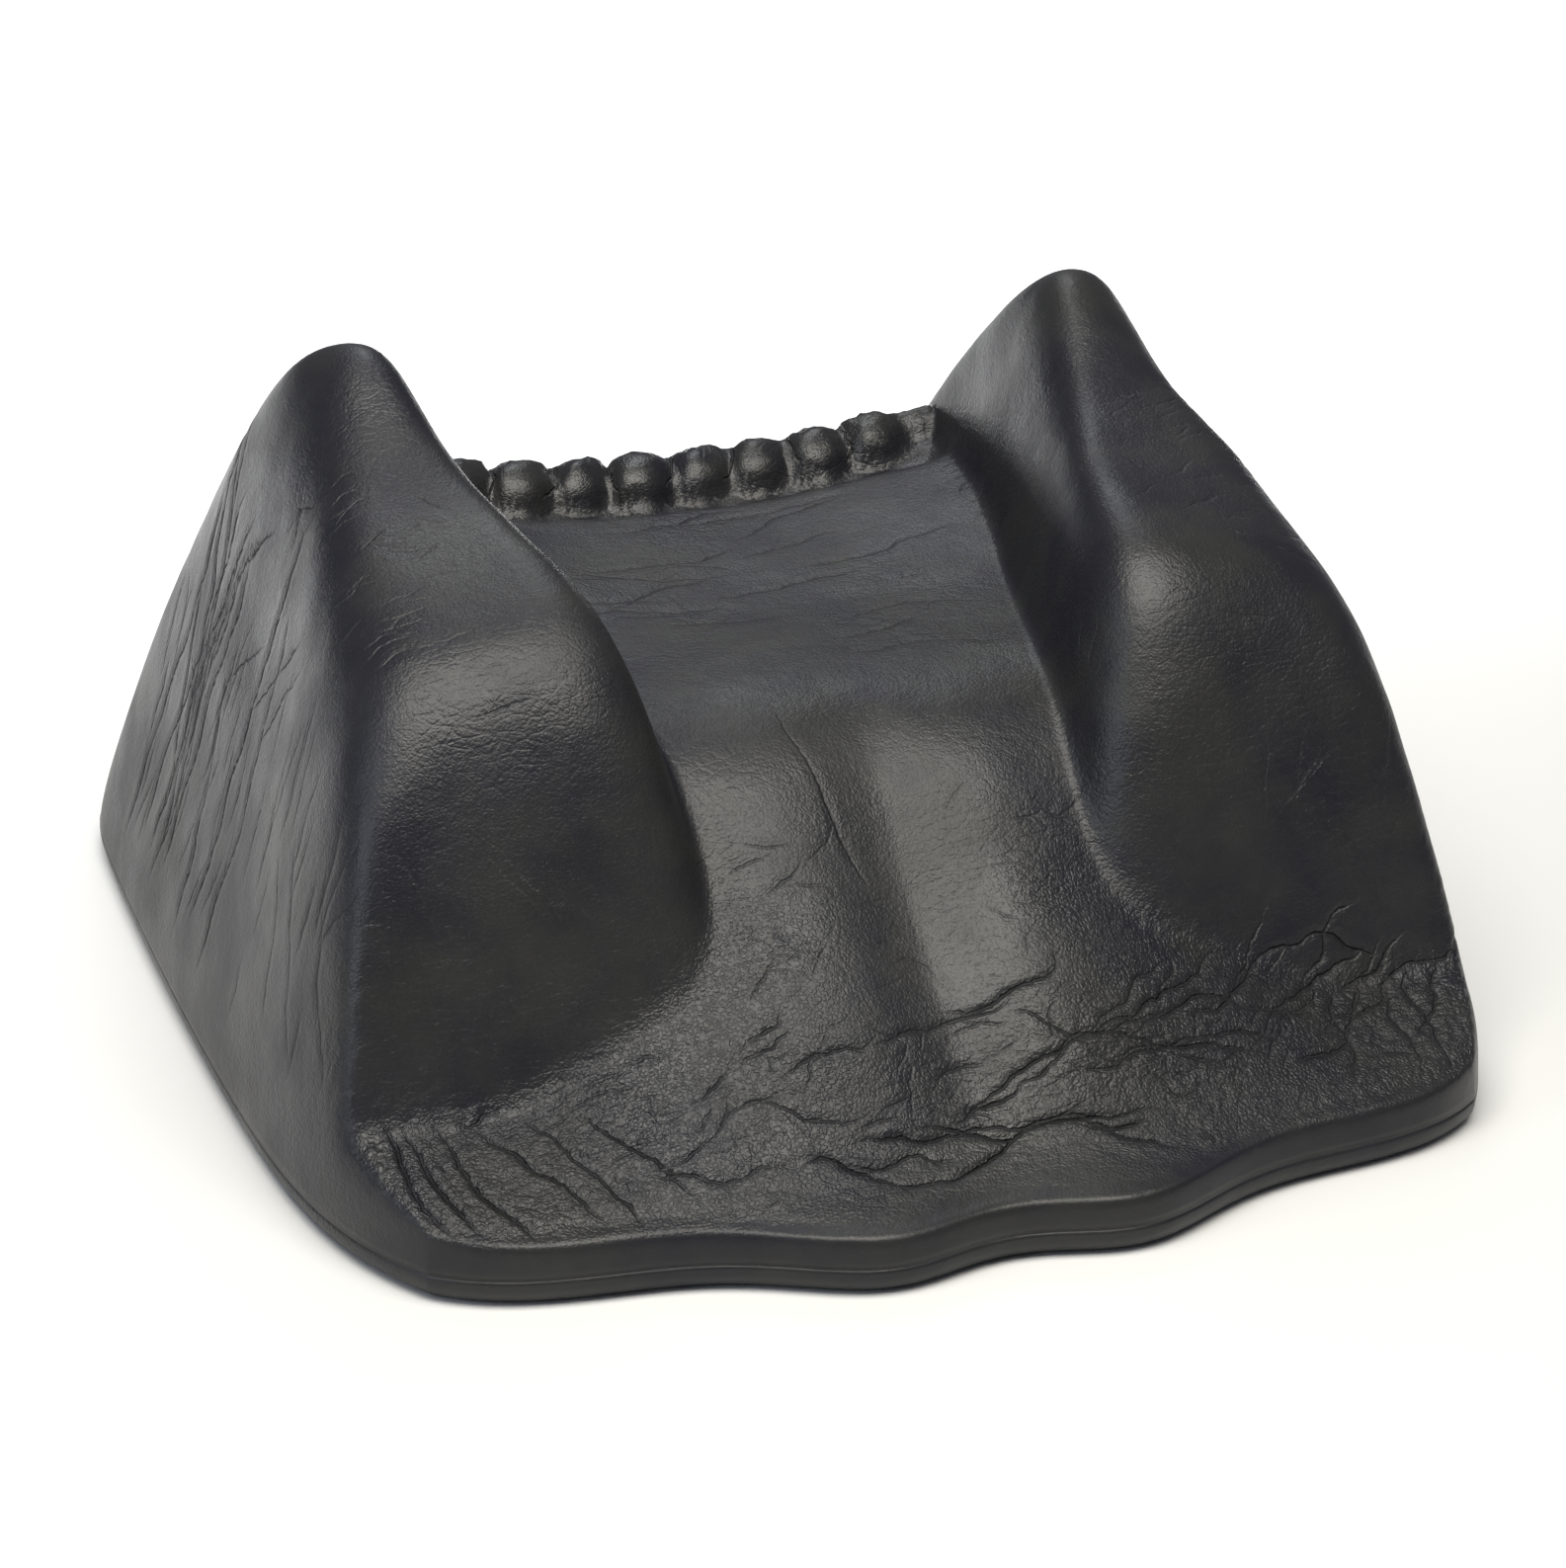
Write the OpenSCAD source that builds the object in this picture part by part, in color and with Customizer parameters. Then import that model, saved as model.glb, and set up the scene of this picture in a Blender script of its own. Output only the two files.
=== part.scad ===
// Neck and shoulder rest: a block of soft foam in a grained, moulded skin.
// +Z is up, the base lies on z = 0, and the head end (with the bead row) is towards +Y.
// The origin is the middle of the base's bounding box.

/* [Base outline] */
// Greatest width of the base
body_w = 260; // [230:1:300]
// Depth from the datum line to the front edge, beside the lobes
front_reach = 143; // [135:1:155]
// Depth from the datum line to the back edge
back_reach = 121; // [115:1:135]
// How far the two front lobes stand out
lobe_reach = 15; // [5:1:20]
// Distance of each lobe from the middle
lobe_x = 25; // [20:1:30]
// Height of the parting line where the top skin meets the base skin
parting_z = 6; // [4:0.5:8]

/* [Prongs] */
// Height of the front facet at the datum line, which sets the peaks
facet_z = 130; // [120:1:135]
// Height of the knuckle ridge at the front of each prong
knuckle_z = 101; // [95:1:105]
// Depth of the foot of the prong's front face, in front of the datum line
prong_foot = 105; // [100:1:110]
// Lean of the outer sides, as rise over run
side_rise = 3.35; // [3:0.05:4]
// Lean of the back, as rise over run
back_rise = 1.4; // [1.3:0.05:1.5]

/* [Neck channel] */
// Height of the saddle that holds the neck
saddle_z = 84; // [78:1:88]
// Half width of the channel at its narrow front end
channel_front = 44.5; // [40:0.5:48]
// How much wider each side of the channel is at the back
channel_flare = 19; // [14:0.5:20]
// Height of the two long ridges on the ramp
ridge_h = 4; // [2:0.5:6]

/* [Beads] */
// Number of beads in the row
bead_count = 8; // [6:2:8]
// Distance between bead centres
bead_pitch = 14.2; // [13:0.1:14.5]
// Radius of a bead
bead_r = 8.8; // [8:0.1:9]

/* [Skin] */
// Thickness of the moulded skin
skin_t = 1.5; // [1:0.1:2]

/* [Hidden] */
skin_colour = [0.16, 0.16, 0.17];
foam_colour = [0.30, 0.30, 0.31];

half_w = body_w / 2;
front_half_w = half_w - 20;
knuckle_y = -82;
saddle_back_y = 49;
bead_y = 59;
bead_base_z = saddle_z + 4.3;
// The lobes overlap a little, so the foremost point is slightly past lobe_reach.
lobe_overlap = lobe_reach * exp(-pow(2 * lobe_x / 25, 2));
datum_y = (front_reach + lobe_reach + lobe_overlap - back_reach) / 2;

// Height of the skirt's top just behind the front lip
lip_top = 12;
// Grid column that follows the foot of the channel wall.
wall_col = 0.5;
// Each band is [start, end, number of steps] in the grid's own -1 to 1 coordinates.
col_bands = [[0, wall_col, 18], [wall_col, 0.6, 4], [0.6, 0.92, 7], [0.92, 1, 3]];
row_bands = [
    [-1, -0.92, 3], [-0.92, -0.74, 4], [-0.74, -0.5, 8], [-0.5, -0.05, 5],
    [-0.05, 0.3, 5], [0.3, 0.6, 11], [0.6, 0.94, 5], [0.94, 1, 2]
];
function steps(bands) = [
    for (b = bands) for (k = [0:b[2] - 1]) b[0] + (b[1] - b[0]) * k / b[2]
];
half_cols = concat(steps(col_bands), [1]);
cols = concat([for (k = [len(half_cols) - 1:-1:1]) -half_cols[k]], half_cols);
rows = concat(steps(row_bands), [1]);
nc = len(cols) - 1;
nr = len(rows) - 1;

// Soft step from 0 to 1, and soft minimum and maximum that round over a width k.
function limit(v) = max(0, min(1, v));
function cubic(v) = v * v * (3 - 2 * v);
function step_up(a, b, v) = cubic(limit((v - a) / (b - a)));
function soft_min(a, b, k) = min(a, b) - pow(max(k - abs(a - b), 0) / k, 2) * k / 4;
function soft_max(a, b, k) = -soft_min(-a, -b, k);
function hump(v, w) = exp(-pow(v / w, 2));

// Half width of the base along the row t, and its depth along the column s.
function half_width(t) = t < 0
    ? half_w - 7 * pow(t, 2) - 13 * pow(t, 6)
    : half_w - 3 * pow(t, 2) - 5 * pow(t, 14);
function lobes(x) = lobe_reach * (hump(x - lobe_x, 25) + hump(x + lobe_x, 25));
function reach(s, t) = t < 0
    ? front_reach - 12 * pow(s, 8) + lobes(s * front_half_w)
    : back_reach - 5 * pow(s, 14);
function plan(s, t) = [s * half_width(t), t * reach(s, t)];

// Half width of the neck channel, and the place across the row where a column runs.
function channel_half(y) = channel_front + channel_flare * step_up(-90, 45, y);
function column(c, t) =
    let (wall = (channel_half(t * front_reach) + 1) / half_width(t), a = abs(c))
    sign(c) * (a < wall_col
        ? a / wall_col * wall
        : wall + (a - wall_col) / (1 - wall_col) * (1 - wall));

// The saddle, the ramp in front of it and the skirt round the prongs' feet.
function saddle(u, y) =
    saddle_z + 0.09 * max(y + 10, 0) + 0.0016 * u * u * step_up(-40, 30, y);
function ramp(y) = soft_max(77 + 1.41 * (y + 75), 13 + 0.85 * (y + 140), 6);
function ridges(u, y) =
    (ridge_h * hump(u - 26, 12) - hump(u, 7))
    * step_up(-52, -80, y) * step_up(-150, -128, y);
function skirt(y) = 12 + 0.42 * (y + 138);
function gap_before_beads(u, y) = 3 * hump(y - saddle_back_y, 4) * step_up(66, 58, u);
function skirt_share(u, y) = step_up(35, 100, u) * step_up(-70, -96, y);
function middle_z(u, y) =
    let (
        w = skirt_share(u, y),
        channel = soft_min(saddle(u, y), ramp(y), 10) + ridges(u, y)
    )
    soft_max((1 - w) * channel + w * skirt(y), lip_top, 6) - gap_before_beads(u, y);

// A prong: its sloping top, then its front face and channel wall taken together.
function prong_top(u, y) =
    soft_max(facet_z + 0.75 * y, knuckle_z + 0.24 * (y - knuckle_y), 12)
    + 0.24 * step_up(0, -80, y) * (75 - u)
    - 0.035 * pow(u - 78, 2) * step_up(-30, 20, y);
function prong_wall(u, y) =
    let (front = y + prong_foot + 0.05 * (95 - u), side = 18 + 1.8 * (u - channel_half(y)))
    30 + 3.3 * soft_min(front, side, 34);
function prong_z(u, y) = soft_min(prong_top(u, y), prong_wall(u, y), 24);

// The outer faces, from the distance in from the edge of the base.
function side_z(d, y) =
    let (f = step_up(0, -85, y))
    parting_z + (side_rise + 1.5 * f) * d - 0.03 * f * pow(min(d, 60), 2);
function back_z(d, u) =
    let (v = limit(d / 97))
    parting_z + back_rise * d + 60 * v * (1 - v) * step_up(95, 60, u);
function lip_z(d) = parting_z + 2.2 * d;

// The bead nearest to x.
function bead_x(x) =
    bead_pitch * (limit(round(x / bead_pitch + bead_count / 2 - 0.5) / (bead_count - 1))
    * (bead_count - 1) - bead_count / 2 + 0.5);
function bead_z(x, y) =
    let (q = pow(bead_r, 2) - pow(x - bead_x(x), 2) - pow(y - bead_y, 2))
    bead_base_z + 0.0016 * pow(bead_x(x), 2) + (q < 0 ? -2 * sqrt(-q) : sqrt(q));

function body_z(s, t) =
    let (
        p = plan(s, t), u = abs(p.x), y = p.y,
        side_d = half_width(t) * (1 - abs(s)),
        front_d = reach(s, -1) * (1 + t),
        back_d = reach(s, 1) * (1 - t),
        bulk = soft_max(middle_z(u, y), prong_z(u, y), 9),
        faces = soft_min(side_z(side_d, y), back_z(back_d, u), 12),
        beaded = soft_max(soft_min(bulk, faces, 18), bead_z(p.x, y), 2.5),
        edge = min(side_d, front_d, back_d)
    )
    edge < 0.001
        ? parting_z
        : max(soft_min(beaded, lip_z(front_d), 5), parting_z + 0.3 * edge);

// The skin's outer face as a grid, then the same grid moved in by the skin's thickness.
outer = [
    for (t = rows) [
        for (c = cols) let (s = column(c, t)) concat(plan(s, t), body_z(s, t))
    ]
];
function unit(v) = v / norm(v);
function on_edge(r, c) = r == 0 || c == 0 || r == nr || c == nc;
function along(r, c) = outer[r][min(c + 1, nc)] - outer[r][max(c - 1, 0)];
function across(r, c) = outer[min(r + 1, nr)][c] - outer[max(r - 1, 0)][c];
function inward(r, c) = unit(cross(across(r, c), along(r, c)));
function above_parting(p) = [p.x, p.y, max(p.z, parting_z + 0.3)];

// The edge of the grid, counter-clockwise from the front left corner.
edge_loop = concat(
    [for (c = [0:nc - 1]) [0, c]],
    [for (r = [0:nr - 1]) [r, nc]],
    [for (c = [nc:-1:1]) [nr, c]],
    [for (r = [nr:-1:1]) [r, 0]]
);
nl = len(edge_loop);
rim = [for (e = edge_loop) [outer[e[0]][e[1]].x, outer[e[0]][e[1]].y]];
function rim_tangent(k) = unit(rim[(k + 1) % nl] - rim[(k + nl - 1) % nl]);
function rim_inset(k, d) = rim[k] + d * [-rim_tangent(k).y, rim_tangent(k).x];
function ring(d, z) = [for (k = [0:nl - 1]) concat(rim_inset(k, d), z)];
inner_rim = ring(skin_t, parting_z);
function loop_place(r, c) = r == 0 ? c
    : c == nc ? nc + r
    : r == nr ? nc + nr + (nc - c)
    : 2 * nc + nr + (nr - r);
function inner_point(r, c) = on_edge(r, c)
    ? inner_rim[loop_place(r, c) % nl]
    : above_parting(outer[r][c] + skin_t * inward(r, c));

// Rounded bottom edge: [inset, height] from the parting line down to the flat base.
outer_edge = [[0.7, 3], [2, 1.1], [4.5, 0]];
inner_edge = [[0.7 + skin_t, 3.4], [2.2 + skin_t, skin_t + 0.7], [4.2 + skin_t, skin_t]];

// Points and faces of the two grids, and strips of faces that join two rings.
outer_points = [for (r = [0:nr]) for (c = [0:nc]) outer[r][c]];
inner_points = [for (r = [0:nr]) for (c = [0:nc]) inner_point(r, c)];
ng = len(outer_points);
function index(r, c) = r * (nc + 1) + c;
function grid_faces(start) = [
    for (r = [0:nr - 1]) for (c = [0:nc - 1]) for (half = [0, 1])
        half == 0
            ? [start + index(r, c), start + index(r + 1, c), start + index(r + 1, c + 1)]
            : [start + index(r, c), start + index(r + 1, c + 1), start + index(r, c + 1)]
];
edge_index = [for (e = edge_loop) index(e[0], e[1])];
function ring_index(start) = [for (k = [0:nl - 1]) start + k];
function strip(upper, lower) = [
    for (k = [0:nl - 1]) for (half = [0, 1])
        let (m = (k + 1) % nl)
        half == 0 ? [upper[k], upper[m], lower[m]] : [upper[k], lower[m], lower[k]]
];
function flipped(faces) = [for (f = faces) [for (k = [len(f) - 1:-1:0]) f[k]]];
function shifted(list, by) = [for (v = list) v + by];

module foam_core() {
    first = ng;
    points = concat(inner_points, [for (e = inner_edge) each ring(e[0], e[1])]);
    faces = concat(
        grid_faces(0),
        strip(edge_index, ring_index(first)),
        strip(ring_index(first), ring_index(first + nl)),
        strip(ring_index(first + nl), ring_index(first + 2 * nl)),
        [ring_index(first + 2 * nl)]
    );
    color(foam_colour) translate([0, datum_y, 0]) polyhedron(points, faces, convexity = 8);
}

module upper_skin() {
    points = concat(outer_points, inner_points);
    faces = concat(
        flipped(grid_faces(ng)),
        strip(edge_index, shifted(edge_index, ng)),
        grid_faces(0)
    );
    color(skin_colour) translate([0, datum_y, 0]) polyhedron(points, faces, convexity = 8);
}

module base_skin() {
    rings = concat(
        ring(0, parting_z), [for (e = outer_edge) each ring(e[0], e[1])],
        inner_rim, [for (e = inner_edge) each ring(e[0], e[1])]
    );
    faces = concat(
        [for (k = [0:2]) each strip(ring_index(k * nl), ring_index((k + 1) * nl))],
        [ring_index(3 * nl)],
        [for (k = [4:6]) each flipped(strip(ring_index(k * nl), ring_index((k + 1) * nl)))],
        flipped([ring_index(7 * nl)]),
        flipped(strip(ring_index(0), ring_index(4 * nl)))
    );
    color(skin_colour) translate([0, datum_y, 0]) polyhedron(rings, faces, convexity = 4);
}

foam_core();
upper_skin();
base_skin();
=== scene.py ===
"""A moulded foam neck and shoulder rest: a grained skin, its base and the foam inside."""

import bpy
import numpy as np
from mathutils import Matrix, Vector
from mathutils.kdtree import KDTree


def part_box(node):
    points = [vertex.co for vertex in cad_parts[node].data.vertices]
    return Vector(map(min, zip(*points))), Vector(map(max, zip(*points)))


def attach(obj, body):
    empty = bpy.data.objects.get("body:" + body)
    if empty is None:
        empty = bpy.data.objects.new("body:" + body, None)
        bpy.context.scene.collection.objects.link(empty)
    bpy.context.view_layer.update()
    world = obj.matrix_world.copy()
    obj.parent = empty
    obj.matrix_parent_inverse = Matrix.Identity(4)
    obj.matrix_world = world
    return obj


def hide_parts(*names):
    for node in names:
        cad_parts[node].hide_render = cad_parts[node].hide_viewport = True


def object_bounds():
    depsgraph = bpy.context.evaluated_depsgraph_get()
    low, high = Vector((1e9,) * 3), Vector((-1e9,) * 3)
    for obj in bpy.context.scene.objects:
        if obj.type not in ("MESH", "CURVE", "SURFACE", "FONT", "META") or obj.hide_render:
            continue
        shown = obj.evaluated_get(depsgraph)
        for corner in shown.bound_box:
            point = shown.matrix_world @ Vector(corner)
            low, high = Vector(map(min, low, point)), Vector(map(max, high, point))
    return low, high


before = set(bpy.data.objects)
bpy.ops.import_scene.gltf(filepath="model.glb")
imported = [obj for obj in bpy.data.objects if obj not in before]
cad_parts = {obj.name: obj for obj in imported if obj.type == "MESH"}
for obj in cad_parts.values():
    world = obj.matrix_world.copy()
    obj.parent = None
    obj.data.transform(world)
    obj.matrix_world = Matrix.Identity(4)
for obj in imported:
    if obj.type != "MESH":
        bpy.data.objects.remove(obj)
cad_box = [list(corner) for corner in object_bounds()]

MM = 0.001
SEED = 7
rng = np.random.default_rng(SEED)

# ---------------------------------------------------------------- camera

VIEW_AZIMUTH = np.radians(19.4)
VIEW_ELEVATION = np.radians(23.0)
VIEW_DISTANCE = 0.9808
LENS = 102.07
LOOK_AT = Vector((0.0068, 0.0186, 0.0383))


def make_camera():
    """A long lens left of the middle, looking a little down on the shoulder end."""
    a, e = VIEW_AZIMUTH, VIEW_ELEVATION
    forward = Vector((np.sin(a) * np.cos(e), np.cos(a) * np.cos(e), -np.sin(e)))
    camera = bpy.data.objects.new("camera", bpy.data.cameras.new("camera"))
    camera.data.lens = LENS
    camera.location = LOOK_AT - VIEW_DISTANCE * forward
    camera.rotation_euler = forward.to_track_quat("-Z", "Y").to_euler()
    bpy.context.scene.collection.objects.link(camera)
    bpy.context.scene.camera = camera


make_camera()

# ---------------------------------------------------------------- shape, in millimetres

low, high = (np.array(corner) / MM for corner in cad_box)
HALF_W = high[0]
PARTING_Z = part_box("base_skin")[1].z / MM
LOBE_REACH = 15.0
LOBE_X = 25.0
LOBE_SPREAD = 25.0
FRONT_REACH = 143.0
LOBES_PEAK = LOBE_REACH * (1 + np.exp(-(2 * LOBE_X / LOBE_SPREAD) ** 2))
BACK_REACH = high[1] - low[1] - FRONT_REACH - LOBES_PEAK
DATUM_Y = high[1] - BACK_REACH
FACET_Z = 132.0
KNUCKLE_Y = -82.0
KNUCKLE_Z = 107.0
PRONG_FOOT = 106.0
SADDLE_Z = 84.0
SADDLE_DISH = 0.0016
LIP_TOP = 12.0
LIP_RISE = 1.9
LIP_START = 1.3
EDGE_START = 0.7
CHANNEL_FRONT = 44.5
CHANNEL_FLARE = 19.0
BEAD_COUNT = 8
BEAD_PITCH = 14.2
BEAD_R = 8.8
BEAD_Y = 59.0
BEAD_LIFT = 4.3
BEAD_SHIFT = np.array([0.5, -0.4, 0.3, -0.6, 0.4, 0.0, -0.5, 0.4])
BEAD_GROW = np.array([-0.3, 0.2, -0.2, 0.3, 0.1, -0.3, 0.3, -0.1])
WALL_COL = 0.5
SKIN_T = 2.4
OUTER_BLEND = 26
PRONG_BLEND = 58
TOP_BLEND = 34
LIP_BLEND = 5


def step_up(a, b, v):
    """A soft step, 0 up to a and 1 from b."""
    v = np.clip((v - a) / (b - a), 0, 1)
    return v * v * (3 - 2 * v)


def soft_min(a, b, k):
    """The smaller of two, rounded where they cross, with no jump in curvature."""
    k = 1.4 * k
    return np.minimum(a, b) - (np.maximum(k - np.abs(a - b), 0) / k) ** 3 * k / 6


def soft_max(a, b, k):
    return -soft_min(-a, -b, k)


def hump(v, w):
    return np.exp(-((v / w) ** 2))


def steep_start(d, w):
    """0 at the edge, and almost 1 from a few times w away from it."""
    return 1 - np.exp(-d / w)


def half_width(t):
    front = HALF_W - 5 * t**2 - 14 * t**6
    return np.where(t < 0, front, HALF_W - 3 * t**2 - 5 * np.abs(t) ** 14)


def reach(s, t):
    x = s * (HALF_W - 20)
    lobes = LOBE_REACH * (hump(x - LOBE_X, LOBE_SPREAD) + hump(x + LOBE_X, LOBE_SPREAD))
    return np.where(t < 0, FRONT_REACH - 12 * s**8 + lobes, BACK_REACH - 5 * np.abs(s) ** 14)


def channel_half(y):
    return CHANNEL_FRONT + CHANNEL_FLARE * step_up(-90, 45, y)


def column(c, t):
    """Where column c crosses row t, so that one column runs along the foot of the channel wall."""
    wall = (channel_half(t * FRONT_REACH) + 1) / half_width(t)
    a = np.abs(c)
    outside = wall + (a - WALL_COL) / (1 - WALL_COL) * (1 - wall)
    return np.sign(c) * np.where(a < WALL_COL, a / WALL_COL * wall, outside)


def middle_z(u, y):
    """The saddle, the ridged ramp in front of it and the skirt round the prongs' feet."""
    saddle = SADDLE_Z + 0.09 * np.maximum(y + 10, 0) + SADDLE_DISH * u * u * step_up(-40, 30, y)
    ramp = soft_max(77 + 1.41 * (y + 75), 13 + 0.85 * (y + 140), 6)
    ridges = 3.6 * hump(u - 23, 15) - 1.3 * hump(u, 8)
    ridges = ridges * step_up(-50, -92, y) * step_up(-150, -118, y)
    channel = soft_min(saddle, ramp + 2.5, 38) + ridges
    share = step_up(35, 100, u) * step_up(-70, -96, y)
    skirt = LIP_TOP + 0.42 * (y + 138)
    gap = 3 * hump(y - 49, 4) * step_up(66, 58, u)
    return soft_max((1 - share) * channel + share * skirt, LIP_TOP, 6) - gap


def prong_z(u, y):
    """A prong's sloping top, cut by its front face and the channel wall taken together."""
    top = soft_max(FACET_Z + 0.75 * y, KNUCKLE_Z + 0.24 * (y - KNUCKLE_Y), 12)
    tilt = 0.24 * step_up(0, -80, y) * (75 - u)
    top = top + tilt - 0.035 * (u - 78) ** 2 * step_up(-30, 20, y)
    front = y + PRONG_FOOT + 0.05 * (95 - u)
    side = 20 + 1.8 * (u - channel_half(y))
    return soft_min(top, 30 + 3.3 * soft_min(front, side, 36), PRONG_BLEND)


def bead_centres():
    return (np.arange(BEAD_COUNT) - (BEAD_COUNT - 1) / 2) * BEAD_PITCH


def bead_z(x, y):
    """The row of beads, each a little different, on a low roll that fills the gaps between them."""
    place = x / BEAD_PITCH + (BEAD_COUNT - 1) / 2
    k = np.clip(np.round(place), 0, BEAD_COUNT - 1).astype(int)
    near = bead_centres()[k]
    dx = x - near - 0.18 * (y - BEAD_Y)
    dy = y - BEAD_Y - BEAD_SHIFT[k]
    q = (BEAD_R + BEAD_GROW[k]) ** 2 - dx**2 - dy**2
    dome = np.where(q < 0, -2 * np.sqrt(np.abs(q)), np.sqrt(np.abs(q)))
    end = BEAD_PITCH * (BEAD_COUNT - 1) / 2
    roll = 6.6 - 0.2 * (y - BEAD_Y - 2) ** 2 + 2 * step_up(end, end + 14, np.abs(x))
    roll = roll - 0.6 * np.maximum(np.abs(x) - end - 14, 0) ** 2
    return SADDLE_Z + BEAD_LIFT + SADDLE_DISH * near**2 + soft_max(dome, roll, 2.5)


def side_z(front, side_d):
    """The leaning outer side, steeper at the front, where front is 1."""
    z = PARTING_Z + (3.35 + 1.5 * front) * side_d - 0.03 * front * np.minimum(side_d, 60) ** 2
    z = z + 6 * step_up(2, 28, side_d) + 11 * step_up(10, 40, side_d)
    return z + (2.5 + 4 * front) * steep_start(side_d, EDGE_START) + 9 * front * step_up(3, 20, side_d)


def back_z(u, back_d):
    """The slope up from the back edge, bulging under the beads and rounder at the corners."""
    v = np.clip(back_d / 97, 0, 1)
    z = PARTING_Z + 1.4 * back_d + 60 * v * (1 - v) * step_up(95, 60, u)
    return z + (4 + 8 * step_up(75, 112, u)) * step_up(0, 40, back_d) + 3.5 * steep_start(back_d, 1.2)


def surface(c, t):
    """Points of the outer face for c and t from -1 to 1, and each point's distance from the edge."""
    s = column(c, t)
    x = s * half_width(t)
    y = t * reach(s, t)
    u = np.abs(x)
    side_d = half_width(t) * (1 - np.abs(s))
    front_d = reach(s, -np.ones_like(t)) * (1 + t)
    back_d = reach(s, np.ones_like(t)) * (1 - t)
    edge = np.minimum(np.minimum(side_d, front_d), back_d)
    front = step_up(0, -85, y)
    middle = soft_max(middle_z(u, y), 9.5 + 0.32 * np.minimum(front_d, 40), 8)
    bulk = soft_max(middle, prong_z(u, y), 9)
    blend = TOP_BLEND + TOP_BLEND * front * step_up(40, 100, u)
    blend = np.minimum(blend, 4 + 0.75 * (bulk - PARTING_Z))
    z = soft_min(bulk, soft_min(side_z(front, side_d), back_z(u, back_d), OUTER_BLEND), blend)
    z = soft_max(z, bead_z(x, y), 2.5)
    lip = PARTING_Z + LIP_START + LIP_RISE * front_d + 5.5 * steep_start(front_d, EDGE_START)
    z = np.maximum(soft_min(z, lip, LIP_BLEND + 9 * step_up(0, 6, edge)), PARTING_Z + 0.5 * edge)
    z = np.where(edge < 1e-6, PARTING_Z, z)
    return np.stack([x, y, z], -1), edge


def even_spacing(lengths, places, count):
    """Places for count steps, so that the steps' mean lengths on the surface are even."""
    run = np.concatenate([[0], np.cumsum(lengths)])
    return np.interp(np.linspace(0, run[-1], count + 1), run, places)


def grid_places(columns, rows):
    """Column and row coordinates, closer together where the surface is steep or finely creased."""
    c = np.linspace(-1, 1, 601)
    t = np.linspace(-1, 1, 601)
    points, _ = surface(*np.meshgrid(c, t))
    across = np.linalg.norm(np.diff(points, axis=1), axis=2)
    down = np.linalg.norm(np.diff(points, axis=0), axis=2)
    across_mean = 0.5 * across.mean(0) + 0.5 * np.percentile(across, 90, axis=0)
    across_mean = (across_mean + across_mean[::-1]) / 2
    down_mean = 0.5 * down.mean(1) + 0.5 * np.percentile(down, 90, axis=1)
    down_mean = down_mean * (1 + 1.2 * step_up(-0.62, -0.75, t[1:]))
    return even_spacing(across_mean, c, columns), even_spacing(down_mean, t, rows)


def unit(v):
    return v / np.maximum(np.linalg.norm(v, axis=-1, keepdims=True), 1e-9)


def normals(points):
    return unit(np.cross(np.gradient(points, axis=1), np.gradient(points, axis=0)))


# ---------------------------------------------------------------- skin relief, in millimetres

COLUMNS = 344
ROWS = 344
STEP = 2.0
CHANNELS = 4
FAR = 9.0
LINE_REACH = 4.0
FULL_DEPTH = 0.6
ARC_STARTS = (-113, -109.5, -103, -96, -86, -76)
HASH = np.array([[127.1, 269.5, 419.2], [311.7, 183.3, 371.9], [74.7, 246.1, 97.3]])
HASH_SCALE = 43758.5


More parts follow.
